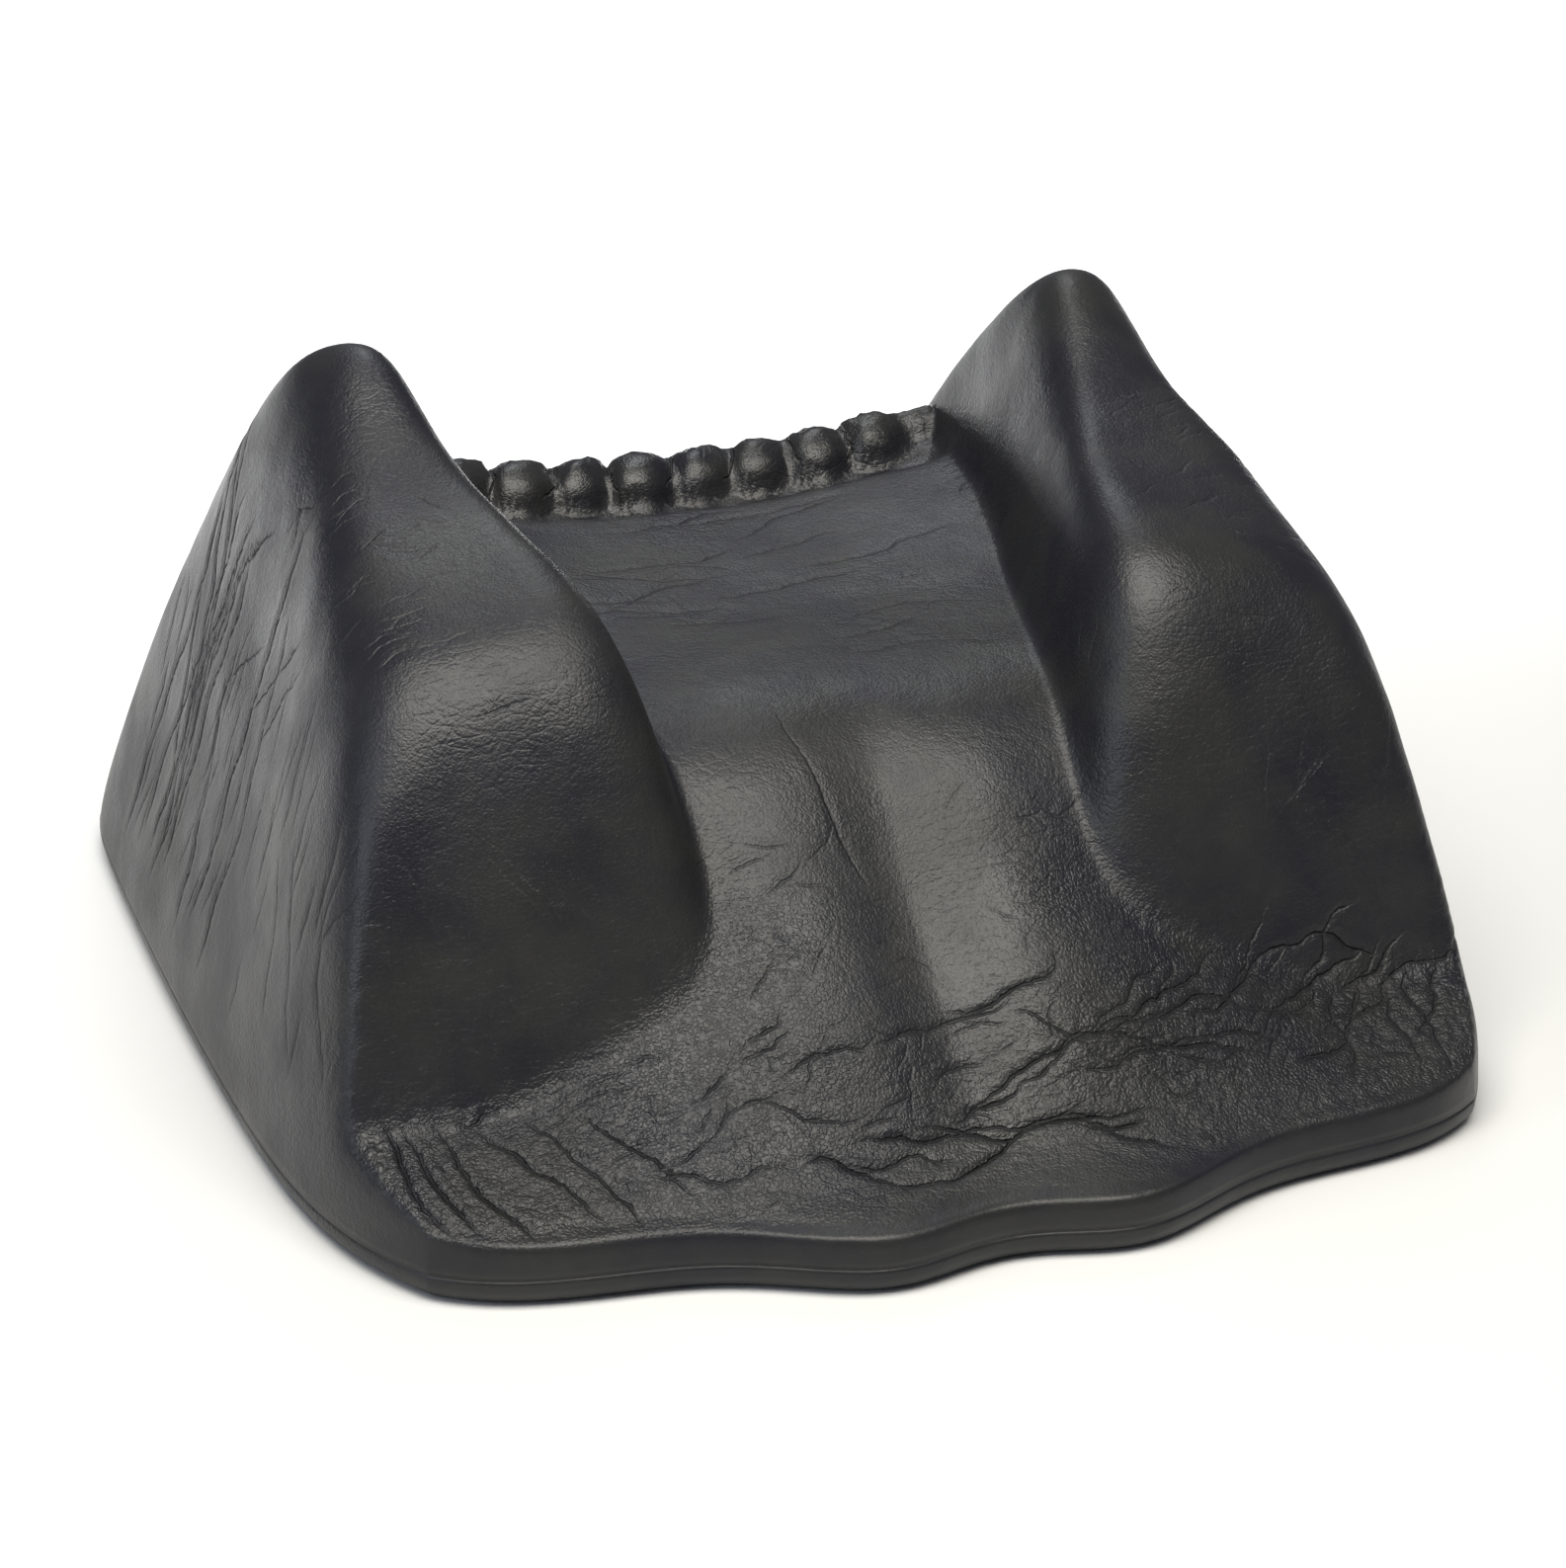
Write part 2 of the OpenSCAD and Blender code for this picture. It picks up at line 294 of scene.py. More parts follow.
class Skin:
    def __init__(self):
        c, t = grid_places(COLUMNS, ROWS)
        points, edge = surface(*np.meshgrid(c, t))
        points[..., 1] += DATUM_Y
        self.shape = points.shape[:2]
        self.points = points.reshape(-1, 3)
        self.normals = normals(points).reshape(-1, 3)
        self.edge = edge.reshape(-1)
        self.tree = KDTree(len(self.points))
        for k, p in enumerate(self.points):
            self.tree.insert(p, k)
        self.tree.balance()
        self.groove = np.zeros(len(self.points))
        self.shoulder = np.zeros(len(self.points))
        self.line = np.full((CHANNELS, len(self.points)), FAR)
        self.shown = np.zeros((CHANNELS, len(self.points)))

    def nearest(self, p):
        return self.tree.find(p)[1]

    def trace(self, start, heading, length, wander=0.3, bend=0.0):
        """A jagged path of the length over the surface, which keeps to its heading as that bends."""
        k = self.nearest(start)
        p = self.points[k].copy()
        path = [p.copy()]
        stray = drift = turned = 0.0
        for _ in range(int(length / STEP)):
            n = self.normals[k]
            stray = 0.55 * stray + wander * rng.normal()
            drift = 0.93 * drift + 0.25 * wander * rng.normal()
            turned += bend * STEP
            a = stray + drift + turned
            flat = np.array(heading, float)
            flat = unit(flat - n * (flat @ n))
            d = flat * np.cos(a) + np.cross(n, flat) * np.sin(a)
            p = p + STEP * d
            k = self.nearest(p)
            p = p - self.normals[k] * ((p - self.points[k]) @ self.normals[k])
            if self.edge[k] < 2:
                break
            path.append(p.copy())
        return np.array(path)

    def carve(self, path, depth, width, swell=0.26, taper=8.0):
        """Sinks a crease along the path, with raised shoulders on both sides."""
        if len(path) < 3:
            return
        lo, hi = path.min(0) - 5 * width, path.max(0) + 5 * width
        near = np.flatnonzero(((self.points > lo) & (self.points < hi)).all(1))
        if not len(near):
            return
        a, ab = path[:-1], np.diff(path, axis=0)
        rel = self.points[near][:, None] - a
        along = np.clip((rel * ab).sum(2) / (ab * ab).sum(1), 0, 1)
        dist = np.linalg.norm(rel - along[..., None] * ab, axis=2)
        seg = dist.argmin(1)
        pick = np.arange(len(near))
        d = dist[pick, seg]
        run = (seg + along[pick, seg]) * STEP
        total = len(ab) * STEP
        fade = np.clip(run / taper, 0, 1) * np.clip((total - run) / taper, 0, 1)
        fade = fade * (0.8 + 0.2 * np.sin(run / 5.3 + path[0, 0]))
        self.groove[near] = np.minimum(self.groove[near], -depth * fade * hump(d, width))
        lift = swell * depth * fade * hump(d - 2.3 * width, 1.3 * width)
        self.shoulder[near] = np.maximum(self.shoulder[near], lift)
        # Each point near the path keeps its signed distance to the crack line and how strongly the line
        # shows; the material paints the crack dark there as shade, and bumps and roughens it.
        turn = (np.cross(ab[seg], rel[pick, seg]) * self.normals[near]).sum(1)
        close = d < LINE_REACH
        near, d, fade = near[close], d[close], fade[close]
        signed = np.where(turn[close] < 0, -d, d)
        use = (self.shown[:, near] > 0).sum(1).argmin()
        better = d < np.abs(self.line[use, near])
        near = near[better]
        self.line[use, near] = signed[better]
        self.shown[use, near] = (fade * step_up(3.2, 2.0, d) * min(1, depth / FULL_DEPTH))[better]


skin = Skin()


def waves(points, size, seed, count=12):
    """Smooth noise of about -1 to 1 with features of the size, as a sum of plane waves."""
    local = np.random.default_rng(seed)
    k = unit(local.normal(size=(count, 3))) * (2 * np.pi / size) * local.uniform(0.6, 1.4, (count, 1))
    return np.sin(points @ k.T + local.uniform(0, 2 * np.pi, count)).sum(1) / np.sqrt(count)


def family(starts, heading, length, depth, width, wander=0.3, bend=0.0, branch=0.0, spread=0.08):
    """Creases of one kind, one from each start, some with a shorter twig."""
    for start in starts:
        size = length * rng.uniform(0.75, 1.2)
        tilt = np.array(heading) + spread * rng.normal(size=3)
        path = skin.trace(start, tilt, length=size, wander=wander, bend=bend)
        deep = depth * rng.uniform(0.75, 1.15)
        skin.carve(path, depth=deep, width=width)
        if len(path) > 12 and rng.uniform() < branch:
            k = rng.integers(4, len(path) - 6)
            aside = rng.choice([-0.6, 0.6]) * np.array((0.0, -1.0, -0.4))
            side = unit(path[k + 1] - path[k]) + aside
            twig = skin.trace(path[k], side, size * 0.4, wander, bend)
            skin.carve(twig, depth=0.8 * deep, width=0.85 * width)


def crease_skirt():
    """Long cracks that fan across the skirt, short ones between them, and arcs round its corners."""
    starts = [(-38 + 12 * k, -119 + 3.4 * k + 2.5 * rng.normal(), 20) for k in range(8)]
    family(starts, (0.95, 0.2, 0.06), length=62, depth=0.6, width=0.78, bend=0.002, branch=0.8)
    starts = [(-70 + 17 * k, -112 + 5.5 * k + 3 * rng.normal(), 24) for k in range(6)]
    family(starts, (0.96, 0.16, 0.05), length=34, depth=0.36, width=0.85, branch=0.6)
    starts = [(-104 + 9 * k, -101 - 0.8 * k + 2 * rng.normal(), 20) for k in range(5)]
    family(starts, (0.9, 0.1, 0), length=14, depth=0.22, width=0.7, branch=0.2)
    starts = [(60 + 9 * k, -112 + 5 * k + 3 * rng.normal(), 20) for k in range(5)]
    family(starts, (0.85, 0.36, 0.15), length=34, depth=0.42, width=0.78, wander=0.32, branch=0.9)
    starts = np.stack([rng.uniform(-104, 106, 60), rng.uniform(-118, -86, 60), np.full(60, 24.0)], 1)
    family(
        starts, (0.9, 0.4, 0.2), length=13, depth=0.38, width=0.8, wander=0.4, branch=0.3, spread=0.3
    )
    for k, x in enumerate(ARC_STARTS):
        start, heading = (x, -83 - 2.2 * k, 24), (0.12 + 0.07 * k, -0.95, 0)
        path = skin.trace(start, heading, length=48 - 3 * k, wander=0.14, bend=0.006)
        skin.carve(path, depth=0.52, width=0.68, swell=0.32)
        start, heading = (113 - 6 * k, -84 - 1.5 * k, 24), (-0.25, -0.97, 0)
        path = skin.trace(start, heading, length=30, bend=-0.01)
        skin.carve(path, depth=0.4, width=0.95)


def crease_sides(sign):
    """Long creases beside the back-outer ridge in loose groups, with fine ones between them."""
    up_side = (-0.27 * sign, -0.16, 0.93)
    starts = [(sign * 122, 92 - 13 * k + 3 * rng.normal(), 14 + 8 * (k % 2)) for k in range(7)]
    family(starts, up_side, length=88, depth=0.42, width=0.85, wander=0.17, branch=0.5, spread=0.05)
    starts = [(sign * 121, 66 - 3.4 * k, 22 + 9 * (k % 2)) for k in range(4)]
    family(starts, up_side, length=100, depth=0.45, width=0.85, wander=0.18, branch=0.6, spread=0.03)
    starts = [(sign * 119, rng.uniform(-70, 100), rng.uniform(12, 70)) for _ in range(46)]
    family(starts, up_side, length=26, depth=0.2, width=0.7, wander=0.12, branch=0.2, spread=0.07)
    starts = [(sign * 118, -78 + 18 * k, 26) for k in range(3)]
    family(starts, (-0.2 * sign, 0.4, 0.88), length=46, depth=0.16, width=0.8, wander=0.14)


def crease_prongs(sign):
    """Small wrinkles across each prong's front ridge and a dimple on its knuckle."""
    for y in np.linspace(16, -52, 30):
        start = (sign * (86 + 7 * rng.normal()), y, 118)
        family([start], (sign, 0.12, 0.1), length=13, depth=0.34, width=0.85, branch=0.2, spread=0.15)
    path = skin.trace((sign * 74, -66, 104), (0.95 * sign, -0.2, 0), length=15, wander=0.08)
    skin.carve(path, depth=0.3, width=1.0)
    starts = np.stack([sign * rng.uniform(64, 104, 5), rng.uniform(-84, -70, 5), np.full(5, 60.0)], 1)
    family(starts, (0.5 * sign, 0.1, 0.9), length=26, depth=0.1, width=0.9, wander=0.14, spread=0.15)


def crease_channel():
    """Fine creases across the saddle, short ones over its side folds, and one thin line on the ramp."""
    for y in np.concatenate([np.linspace(-40, 44, 10), rng.uniform(-10, 44, 10)]):
        start = (rng.uniform(-50, 12), y + DATUM_Y, 86)
        family([start], (1, 0.04, 0), length=38, depth=0.22, width=0.8, wander=0.22, branch=0.6)
    for sign in (-1, 1):
        starts = [(sign * (channel_half(y) - 4), y + DATUM_Y, 90) for y in np.linspace(-78, 46, 34)]
        over = (0.8 * sign, 0.2, 0.6)
        family(starts, over, length=10, depth=0.42, width=0.85, wander=0.25, branch=0.2, spread=0.15)
    path = skin.trace((-16, -38, 70), (0.16, -0.8, -0.6), length=46, wander=0.09)
    skin.carve(path, depth=0.2, width=0.7)
    starts = np.stack([rng.uniform(-40, 42, 22), rng.uniform(-104, -50, 22), np.full(22, 50.0)], 1)
    family(starts, (0.7, 0.3, 0.2), length=12, depth=0.25, width=0.9, branch=0.2, spread=0.5)


def crease_beads_and_back():
    """Clefts between the beads, wrinkles over them, and long creases down the back's corners."""
    for x in bead_centres()[:-1] + BEAD_PITCH / 2:
        path = skin.trace((x - 2, BEAD_Y + DATUM_Y - 9, 92), (0.3, 0.95, 0), length=17, wander=0.1)
        skin.carve(path, depth=0.7, width=1.0, swell=0.2, taper=3.0)
    for x in bead_centres():
        starts = [(x + 4 * rng.normal(), BEAD_Y + DATUM_Y + 4 * rng.normal(), 98) for _ in range(8)]
        family(starts, (0.5, 0.9, 0), length=9, depth=0.38, width=0.8, wander=0.35, spread=0.5)
    for sign in (-1, 1):
        starts = [(sign * (36 + 9 * k), 108 + 3 * rng.normal(), 40) for k in range(8)]
        family(
            starts, (0.15 * sign, -0.75, 0.85), length=52, depth=0.5, width=1.2, wander=0.14, branch=0.4
        )


crease_skirt()
crease_channel()
crease_beads_and_back()
for sign in (-1, 1):
    crease_sides(sign)
    crease_prongs(sign)


def bead_zone(width, low_z):
    """1 on the row of beads, 0 elsewhere."""
    x, y, z = skin.points.T
    return hump(y - BEAD_Y - DATUM_Y, width) * step_up(low_z, 92, z) * step_up(66, 58, np.abs(x))


def cells(points, grow, size):
    """Distance, 0 to 1, into leather cells stretched along the direction grow."""
    q = points + 1.2 * np.stack([waves(points, 9, s) for s in (21, 22, 23)], 1)
    g = unit(np.array(grow))
    q = q - 0.55 * (q @ g)[:, None] * g
    q = q / size
    base = np.floor(q)
    first = np.full(len(q), FAR)
    second = np.full(len(q), FAR)
    for shift in np.ndindex(3, 3, 3):
        cell = base + np.array(shift) - 1
        key = np.sin(cell @ HASH) * HASH_SCALE
        site = cell + key - np.floor(key)
        dist = np.linalg.norm(q - site, axis=1)
        second = np.minimum(second, np.maximum(first, dist))
        first = np.minimum(first, dist)
    return np.clip((second - first) / 0.45, 0, 1)


spots = skin.points
up = step_up(0.35, 0.62, skin.normals[:, 2])
lip = step_up(15, 11, spots[:, 2]) * step_up(-100, -112, spots[:, 1])
skirt = step_up(-62, -84, spots[:, 1]) * step_up(75, 50, spots[:, 2])
skirt = skirt * (1 - lip) * step_up(14, 30, np.abs(spots[:, 0]))
feet = step_up(46, 22, spots[:, 2]) * (1 - lip) * up
pebble = cells(spots, (0.8, 0.5, 0.3), 2.8)
relief = skin.groove + skin.shoulder
relief = relief + 0.15 * skirt * (pebble - 0.6) + 0.12 * feet * (pebble - 0.6)
relief = relief + 0.16 * waves(spots, 46, 1) + 0.05 * waves(spots, 17, 2) * (1 - 0.7 * lip)
relief = relief + bead_zone(8, 86) * (0.22 * waves(spots, 3.4, 3) + 0.3 * waves(spots, 8, 4))
relief = relief * step_up(0, 5, skin.edge)
outer = (skin.points + relief[:, None] * skin.normals).reshape(*skin.shape, 3)

# ---------------------------------------------------------------- pieces

COARSE = 4
BASE_EDGE = ((-0.05, 4.9), (0.0, 4.0), (0.3, 2.9), (1.1, 1.6), (2.3, 0.6), (3.6, 0.12), (5, 0))
BASE_INNER = ((2.5, 4.5), (3.2, 3.2), (4.6, 2.3), (6.5, 2.0))
FOAM_DEPTH = 3.0
FOAM_UNDER = ((4.0, 4.2), (5.6, 3.2), (7.0, 2.8))


def mesh_object(name, points, faces):
    """A smooth-shaded mesh in the scene, from points in millimetres."""
    mesh = bpy.data.meshes.new(name)
    mesh.from_pydata((np.asarray(points) * MM).tolist(), [], [tuple(map(int, f)) for f in faces])
    mesh.validate()
    mesh.polygons.foreach_set("use_smooth", [True] * len(mesh.polygons))
    made = bpy.data.objects.new(name, mesh)
    bpy.context.scene.collection.objects.link(made)
    return made


def grid_quads(rows, cols, start=0):
    r, c = np.meshgrid(np.arange(rows - 1), np.arange(cols - 1), indexing="ij")
    a = start + (r * cols + c).ravel()
    return np.stack([a, a + 1, a + cols + 1, a + cols], 1)


def loop_of(rows, cols):
    """The grid's edge as point numbers, counter-clockwise from above, from the front left corner."""
    front = np.arange(cols - 1)
    right = np.arange(rows - 1) * cols + cols - 1
    back = (rows - 1) * cols + np.arange(cols - 1, 0, -1)
    left = np.arange(rows - 1, 0, -1) * cols
    return np.concatenate([front, right, back, left])


def inset_ring(rim, by, z):
    """The rim moved in by a distance, all at one height."""
    tangent = unit(np.roll(rim, -1, 0) - np.roll(rim, 1, 0))
    ring = rim[:, :2] + by * np.stack([-tangent[:, 1], tangent[:, 0]], 1)
    return np.column_stack([ring, np.full(len(ring), z)])


def inner_grid(depth, z_min):
    """The outer face moved in by the depth on a coarser grid, with its edge inside the outer edge."""
    plain = skin.points.reshape(*skin.shape, 3)[::COARSE, ::COARSE]
    flat_normals = normals(plain)
    grid = plain + depth * -flat_normals
    grid[..., 2] = np.maximum(grid[..., 2], z_min)
    rows, cols = grid.shape[:2]
    loop = loop_of(rows, cols)
    rim = plain.reshape(-1, 3)[loop]
    flat = grid.reshape(-1, 3)
    flat[loop] = inset_ring(rim, depth, PARTING_Z)
    return flat, rows, cols, loop


def ring_strip(upper, lower):
    """Quads that join two rings of the same count, facing out when the lower ring is below."""
    return np.stack([upper, lower, np.roll(lower, -1), np.roll(upper, -1)], 1)


def add_values(piece, **values):
    """Writes numbers per point, which the material reads by name."""
    for name, value in values.items():
        attribute = piece.data.attributes.new(name, "FLOAT", "POINT")
        attribute.data.foreach_set("value", np.asarray(value, np.float32))


def set_flat(piece, first, last):
    flags = np.ones(len(piece.data.polygons), bool)
    flags[first:last] = False
    piece.data.polygons.foreach_set("use_smooth", flags)


def make_top():
    rows, cols = skin.shape
    loop = loop_of(rows, cols)
    inner, in_rows, in_cols, in_loop = inner_grid(SKIN_T, PARTING_Z + 0.4)
    first = rows * cols
    outside = grid_quads(rows, cols)
    inside = grid_quads(in_rows, in_cols, first)[:, ::-1]
    rim = []
    for j, start in enumerate(in_loop):
        stop = in_loop[(j + 1) % len(in_loop)]
        edge = [loop[(COARSE * j + k) % len(loop)] for k in range(COARSE, -1, -1)]
        rim.append([first + start, first + stop] + edge)
    points = np.vstack([outer.reshape(-1, 3), inner])
    piece = mesh_object("skin_top", points, list(outside) + list(inside) + rim)
    set_flat(piece, len(outside) + len(inside), len(outside) + len(inside) + len(rim))
    spare = np.zeros(len(inner))
    values = {}
    # line_k and shown_k place the crack lines, which the material paints dark as shade and also bumps
    # and roughens.
    for k in range(CHANNELS):
        values[f"line_{k}"] = (skin.line[k], spare + FAR)
        values[f"shown_{k}"] = (skin.shown[k], spare)
    # crease is the groove's depth; the material paints shade into the skin colour, darker where the
    # groove is deeper.
    values["crease"] = (np.clip(-skin.groove / 0.8, 0, 1), spare)
    values["pebble"] = (np.clip(0.8 * skirt * up + 0.4 * feet, 0, 1), spare)
    values["lip"] = (lip, spare)
    values["beads"] = (bead_zone(9, 84), spare)
    add_values(piece, **{name: np.concatenate(parts) for name, parts in values.items()})
    return piece


def closed_block(depth, grid_z, rings, name):
    """The inner form on its own: a coarse grid on top, then rings down to a capped underside."""
    top, rows, cols, loop = inner_grid(depth, grid_z)
    rim = skin.points.reshape(*skin.shape, 3)[::COARSE, ::COARSE].reshape(-1, 3)[loop]
    points, faces = [top], list(grid_quads(rows, cols))
    upper, count = loop, len(top)
    for inset, z in rings:
        points.append(inset_ring(rim, inset, z))
        lower = count + np.arange(len(loop))
        faces += list(ring_strip(upper, lower))
        upper, count = lower, count + len(loop)
    points.append([[0, 0, rings[-1][1]]])
    faces += [[upper[(k + 1) % len(loop)], upper[k], count] for k in range(len(loop))]
    return mesh_object(name, np.vstack(points), faces)


def make_base():
    """A shallow tray: its outer wall and flat underside, then the same moved in."""
    loop = loop_of(*skin.shape)
    rim = skin.points[loop]
    n = len(rim)
    number = np.arange(n)
    rings = [inset_ring(rim, d, z) for d, z in ((0, PARTING_Z),) + BASE_EDGE]
    rings += [inset_ring(rim, d, z) for d, z in ((SKIN_T, PARTING_Z),) + BASE_INNER]
    outside = len(BASE_EDGE) + 1
    faces = [ring_strip(k * n + number, (k + 1) * n + number) for k in range(outside - 1)]
    for k in range(outside, len(rings) - 1):
        faces.append(ring_strip(k * n + number, (k + 1) * n + number)[:, ::-1])
    faces.append(ring_strip(number, outside * n + number)[:, ::-1])
    faces = list(np.concatenate(faces))
    rim_end = len(faces)
    under, floor = len(rings) * n, len(rings) * n + 1
    last_out = (outside - 1) * n + number
    last_in = (len(rings) - 1) * n + number
    faces += [[last_out[(k + 1) % n], last_out[k], under] for k in range(n)]
    faces += [[last_in[k], last_in[(k + 1) % n], floor] for k in range(n)]
    points = np.vstack(rings + [[[0, 0, 0]], [[0, 0, BASE_INNER[-1][1]]]])
    piece = mesh_object("skin_base", points, faces)
    set_flat(piece, rim_end - n, len(faces))
    band = np.ones(len(points)) * step_up(-100, -112, points[:, 1])
    none = np.zeros(len(points))
    add_values(piece, crease=none, pebble=0.5 * (1 - band), lip=band, beads=none)
    return piece


# ---------------------------------------------------------------- materials

SKIN_DARK = (0.0075, 0.0075, 0.0115, 1)
SKIN_LIGHT = (0.0155, 0.0155, 0.015, 1)
# Painted shade colour for the creases.
CREASE_SHADE_COLOUR = (0.006, 0.006, 0.008, 1)
# Painted shade colour for the crack lines.
CRACK_SHADE_COLOUR = (0.003, 0.003, 0.004, 1)
FOAM_DARK = (0.05, 0.05, 0.052, 1)
FOAM_LIGHT = (0.09, 0.09, 0.092, 1)
FLOOR_DARK = (0.62, 0.62, 0.62, 1)
FLOOR_LIGHT = (0.65, 0.65, 0.65, 1)


class Nodes:
    """A short way to build a material's nodes."""

    def __init__(self, name):
        self.material = bpy.data.materials.new(name)
        self.material.use_nodes = True
        self.tree = self.material.node_tree
        self.shader = self.tree.nodes["Principled BSDF"]
        self.coords = self.tree.nodes.new("ShaderNodeTexCoord").outputs["Object"]

    def join(self, value, socket):
        if isinstance(value, bpy.types.NodeSocket):
            self.tree.links.new(value, socket)
        else:
            socket.default_value = value

    def math(self, operation, a, b=0.0, clamp=False):
        node = self.tree.nodes.new("ShaderNodeMath")
        node.operation, node.use_clamp = operation, clamp
        self.join(a, node.inputs[0])
        self.join(b, node.inputs[1])
        return node.outputs[0]

    def scaled(self, stretch, turn=(0, 0, 0)):
        node = self.tree.nodes.new("ShaderNodeMapping")
        self.tree.links.new(self.coords, node.inputs["Vector"])
        node.inputs["Scale"].default_value = stretch
        node.inputs["Rotation"].default_value = turn
        return node.outputs[0]

    def noise(self, size, detail=3.0):
        node = self.tree.nodes.new("ShaderNodeTexNoise")
        self.tree.links.new(self.coords, node.inputs["Vector"])
        node.inputs["Scale"].default_value = 1 / (size * MM)
        node.inputs["Detail"].default_value = detail
        return node.outputs["Fac"]

    def edges(self, size, coords=None):
        """Distance to the nearest cell border, 0 on it."""
        node = self.tree.nodes.new("ShaderNodeTexVoronoi")
        node.feature = "DISTANCE_TO_EDGE"
        self.tree.links.new(coords or self.coords, node.inputs["Vector"])
        node.inputs["Scale"].default_value = 1 / (size * MM)
        return node.outputs["Distance"]

    def ramp(self, value, low, high, to_low=0.0, to_high=1.0):
        node = self.tree.nodes.new("ShaderNodeMapRange")
        node.interpolation_type = "SMOOTHSTEP"
        self.join(value, node.inputs["Value"])
        numbers = {"From Min": low, "From Max": high, "To Min": to_low, "To Max": to_high}
        for socket, number in numbers.items():
            self.join(number, node.inputs[socket])
        return node.outputs["Result"]

    def value(self, name):
        node = self.tree.nodes.new("ShaderNodeAttribute")
        node.attribute_name = name
        return node.outputs["Fac"]

    def mix(self, share, first, second):
        node = self.tree.nodes.new("ShaderNodeMix")
        node.data_type = "RGBA"
        self.join(share, node.inputs["Factor"])
        self.join(first, node.inputs[6])
        self.join(second, node.inputs[7])
        return node.outputs[2]

    def warped(self, coords, size, amount):
        """The coordinates pushed about by noise, so that cells aren't regular."""
        node = self.tree.nodes.new("ShaderNodeTexNoise")
        self.tree.links.new(coords, node.inputs["Vector"])
        node.inputs["Scale"].default_value = 1 / (size * MM)
        centred = self.tree.nodes.new("ShaderNodeVectorMath")
        centred.operation = "SUBTRACT"
        self.tree.links.new(node.outputs["Color"], centred.inputs[0])
        centred.inputs[1].default_value = (0.5, 0.5, 0.5)
        push = self.tree.nodes.new("ShaderNodeVectorMath")
        push.operation = "MULTIPLY_ADD"
        self.tree.links.new(centred.outputs[0], push.inputs[0])
        push.inputs[1].default_value = (amount * MM,) * 3
        self.tree.links.new(coords, push.inputs[2])
        return push.outputs[0]

    def bump(self, height, distance, strength=1.0, below=None):
        node = self.tree.nodes.new("ShaderNodeBump")
        self.join(height, node.inputs["Height"])
        self.join(strength, node.inputs["Strength"])
        node.inputs["Distance"].default_value = distance * MM
        if below:
            self.tree.links.new(below, node.inputs["Normal"])
        return node.outputs["Normal"]


def skin_material():
    """Moulded, leather-grained skin: fine pebbles, stretched cells, a patchy semi-matt finish, and
    painted shade darkening its creases and crack lines.
    """
    n = Nodes("moulded_skin")
    crease, pebble, lip, beads = (n.value(v) for v in ("crease", "pebble", "lip", "beads"))
    ragged = n.math("MULTIPLY", n.math("SUBTRACT", n.noise(1.8, 3), 0.5), 1.1)
    # cracks is 1 on a crack line and 0 away from it; it paints shade into the colour below, and also
    # sets roughness and a bump.
    cracks = 0.0
    for k in range(CHANNELS):
        away = n.math("ABSOLUTE", n.math("ADD", n.value(f"line_{k}"), ragged))
        crack = n.math("MULTIPLY", n.ramp(away, 0.04, 0.5, 1.0, 0.0), n.value(f"shown_{k}"))
        cracks = n.math("MAXIMUM", cracks, crack)
    patches = n.noise(38, 4)
    cloud = n.noise(9, 3)
    tone = n.math("ADD", n.math("MULTIPLY", patches, 0.7), n.math("MULTIPLY", cloud, 0.3))
    colour = n.mix(n.ramp(tone, 0.36, 0.66), SKIN_DARK, SKIN_LIGHT)
    # Painted shade: the deeper the crease, the darker the skin colour.
    colour = n.mix(n.math("MULTIPLY", crease, 0.4), colour, CREASE_SHADE_COLOUR)
    # Painted shade along the crack lines, darker than the creases' painted shade.
    colour = n.mix(n.math("MULTIPLY", cracks, 0.85), colour, CRACK_SHADE_COLOUR)
    n.join(colour, n.shader.inputs["Base Color"])
    rough = n.ramp(n.noise(22, 4), 0.3, 0.7, 0.36, 0.47)
    rough = n.math("SUBTRACT", rough, n.math("MULTIPLY", beads, 0.10))
    rough = n.math("ADD", rough, n.math("MULTIPLY", cracks, 0.45), clamp=True)
    n.join(rough, n.shader.inputs["Roughness"])
    n.shader.inputs["Specular IOR Level"].default_value = 0.38

    bent = n.warped(n.coords, size=4, amount=1.2)
    grain = n.ramp(n.edges(0.95, bent), 0.0, 0.28)
    stretched = n.warped(n.scaled((0.5, 1.0, 1.0), (0, 0, -0.35)), size=7, amount=3.0)
    coarse = n.ramp(n.edges(2.3, stretched), 0.0, 0.16)
    where = n.ramp(n.noise(30, 2), 0.45, 0.62)
    soft = n.noise(1.1, 4)
    smooth = n.math("SUBTRACT", 1.0, n.math("MULTIPLY", lip, 0.8))
    rest = n.math("MULTIPLY", smooth, n.math("ADD", n.math("MULTIPLY", pebble, 0.6), 0.4))
    some = n.math("MULTIPLY", rest, n.math("ADD", n.math("MULTIPLY", where, 0.8), 0.2))
    uneven = n.bump(n.noise(6, 3), distance=0.6, strength=0.35)
    first = n.bump(n.math("SUBTRACT", 1.0, cracks), distance=0.65, strength=1.0, below=uneven)
    second = n.bump(coarse, distance=0.12, strength=some, below=first)
    third = n.bump(grain, distance=0.085, strength=rest, below=second)
    n.join(n.bump(soft, distance=0.11, strength=smooth, below=third), n.shader.inputs["Normal"])
    return n.material


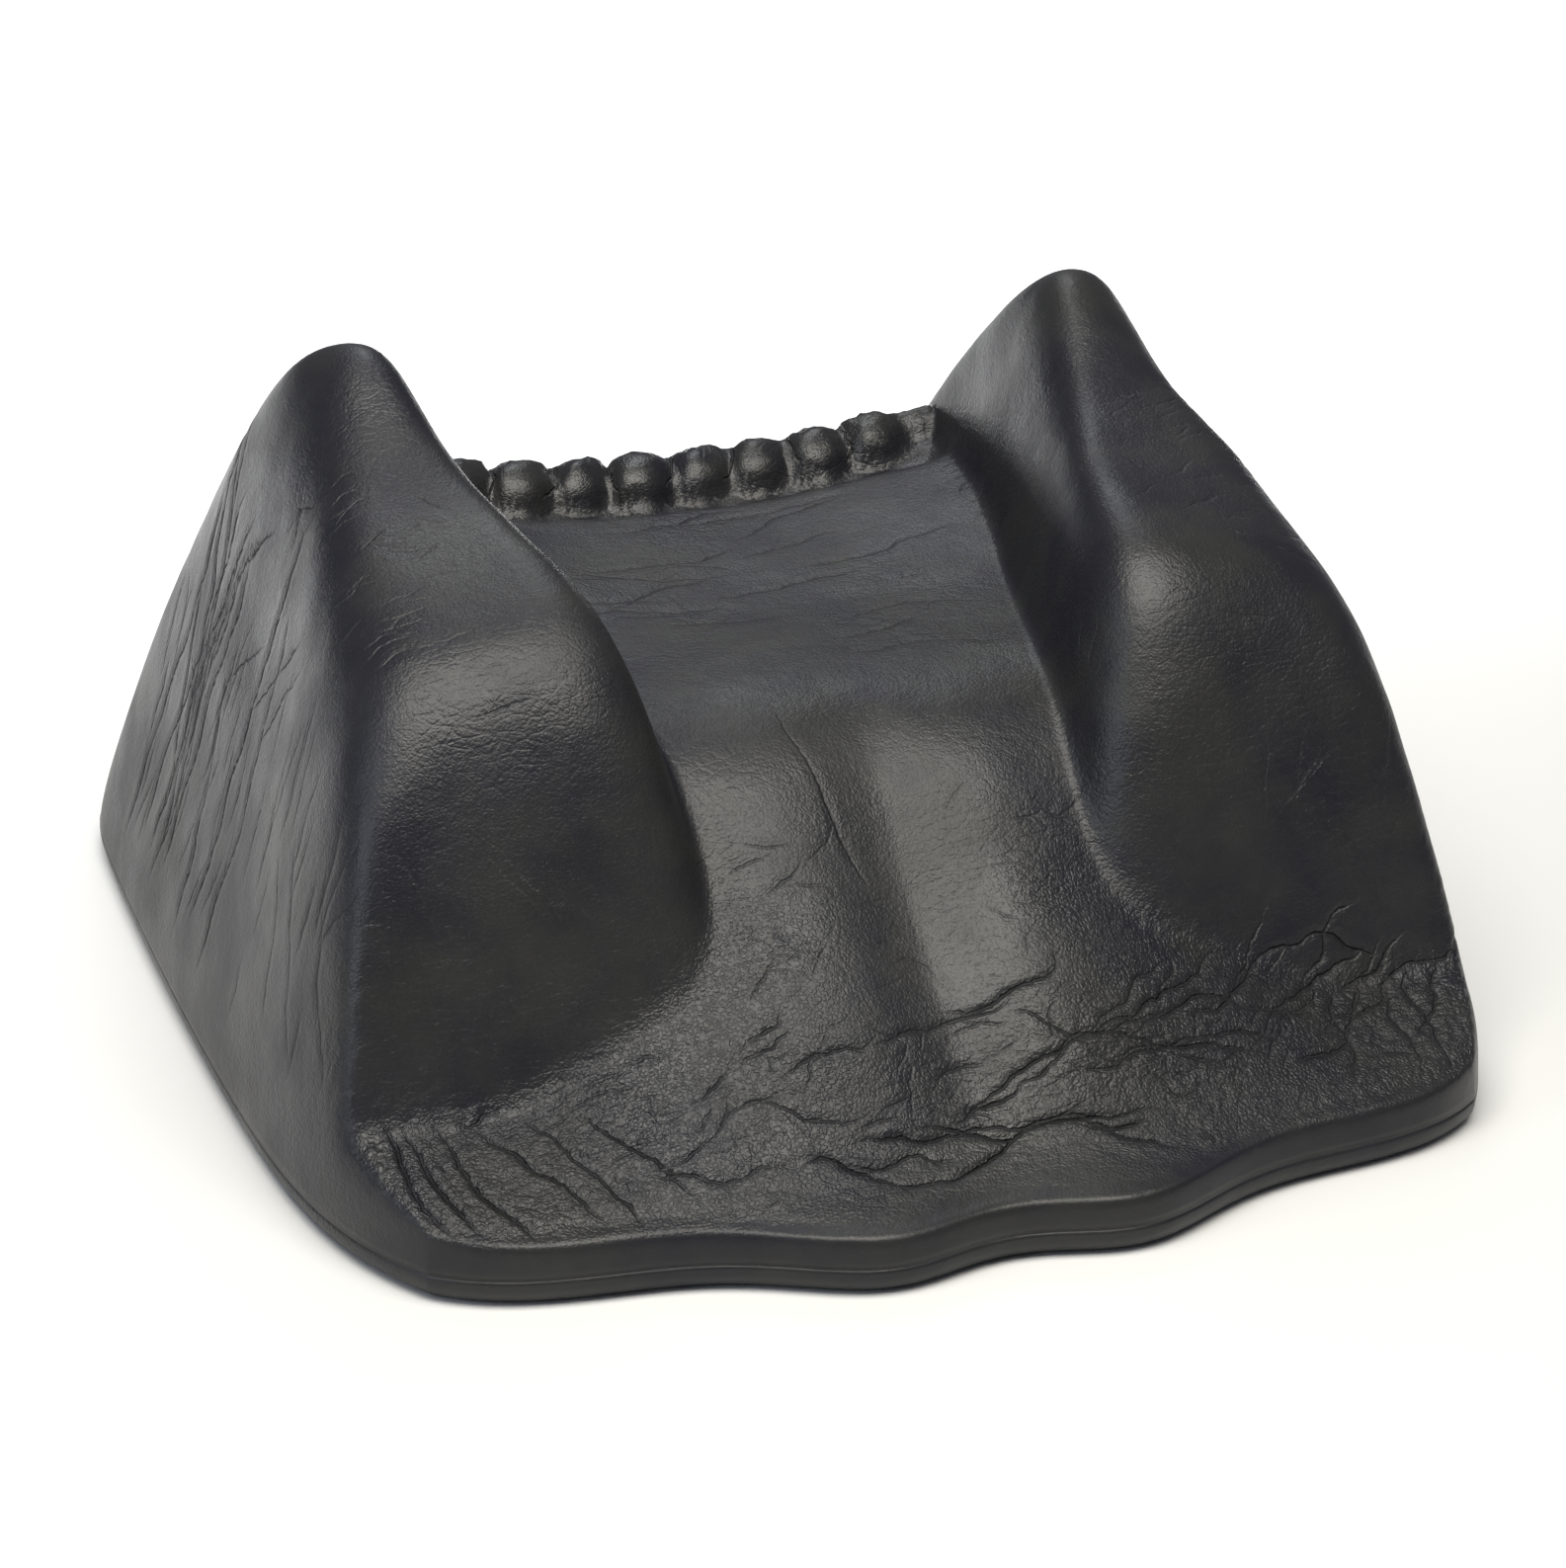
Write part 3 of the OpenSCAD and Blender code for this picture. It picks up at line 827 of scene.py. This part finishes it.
def foam_material():
    """Open-celled foam: dark grey, matt and finely pitted."""
    n = Nodes("cut_foam")
    tone = n.ramp(n.noise(3, 4), 0.35, 0.65)
    n.join(n.mix(tone, FOAM_DARK, FOAM_LIGHT), n.shader.inputs["Base Color"])
    n.shader.inputs["Roughness"].default_value = 0.92
    pits = n.ramp(n.edges(0.9), 0.0, 0.35)
    n.join(n.bump(pits, distance=0.3, strength=0.8), n.shader.inputs["Normal"])
    return n.material


def floor_material():
    n = Nodes("pale_floor")
    tone = n.noise(300, 2)
    n.join(n.mix(tone, FLOOR_DARK, FLOOR_LIGHT), n.shader.inputs["Base Color"])
    n.shader.inputs["Roughness"].default_value = 0.75
    return n.material


skin_look = skin_material()

skin_top = make_top()
skin_top.data.materials.append(skin_look)
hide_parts("upper_skin")

skin_base = make_base()
skin_base.data.materials.append(skin_look)
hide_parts("base_skin")

foam_block = closed_block(FOAM_DEPTH, PARTING_Z + 0.6, FOAM_UNDER, "foam_block")
foam_block.data.materials.append(foam_material())
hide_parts("foam_core")

for piece in (skin_top, skin_base, foam_block):
    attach(piece, "root")

# ---------------------------------------------------------------- floor and light

FLOOR_HALF = 4000.0
AIM = (0, 0, 0.05)
WARM = (1.0, 0.975, 0.89)
COOL = (0.80, 0.87, 1.0)
PALE = (0.95, 0.97, 1.0)
WHITE = (1.0, 1.0, 1.0)
WORLD_COLOUR = (0.86, 0.89, 1.0, 1)
WORLD_STRENGTH = 0.17


def make_floor():
    a = FLOOR_HALF
    floor = mesh_object("floor", [(-a, -a, 0), (a, -a, 0), (a, a, 0), (-a, a, 0)], [(0, 1, 2, 3)])
    floor.data.materials.append(floor_material())


def area_light(name, place, aim, size, power, colour, spread=180):
    lamp = bpy.data.lights.new(name, "AREA")
    lamp.shape = "RECTANGLE"
    lamp.size, lamp.size_y = size
    lamp.energy, lamp.color = power, colour
    lamp.spread = np.radians(spread)
    made = bpy.data.objects.new(name, lamp)
    made.location = place
    made.rotation_euler = (Vector(aim) - Vector(place)).to_track_quat("-Z", "Y").to_euler()
    bpy.context.scene.collection.objects.link(made)


make_floor()
area_light("overhead", (-0.10, -0.34, 0.94), AIM, size=(1.0, 0.6), power=16.5, colour=WARM)
area_light("left_fill", (-1.1, -0.30, 0.55), (0, 0, 0.06), size=(0.6, 0.6), power=3.9, colour=COOL)
area_light("back_soft", (0.25, 0.95, 1.1), AIM, size=(0.5, 0.5), power=3.0, colour=PALE)
area_light("floor_wash", (0, 1.0, 1.3), (0, 1.0, 0), size=(1.6, 0.9), power=26, colour=WHITE, spread=60)
bpy.context.scene.view_settings.view_transform = "Standard"

world = bpy.data.worlds.new("studio")
world.use_nodes = True
backdrop = world.node_tree.nodes["Background"]
backdrop.inputs["Color"].default_value = WORLD_COLOUR
backdrop.inputs["Strength"].default_value = WORLD_STRENGTH
bpy.context.scene.world = world
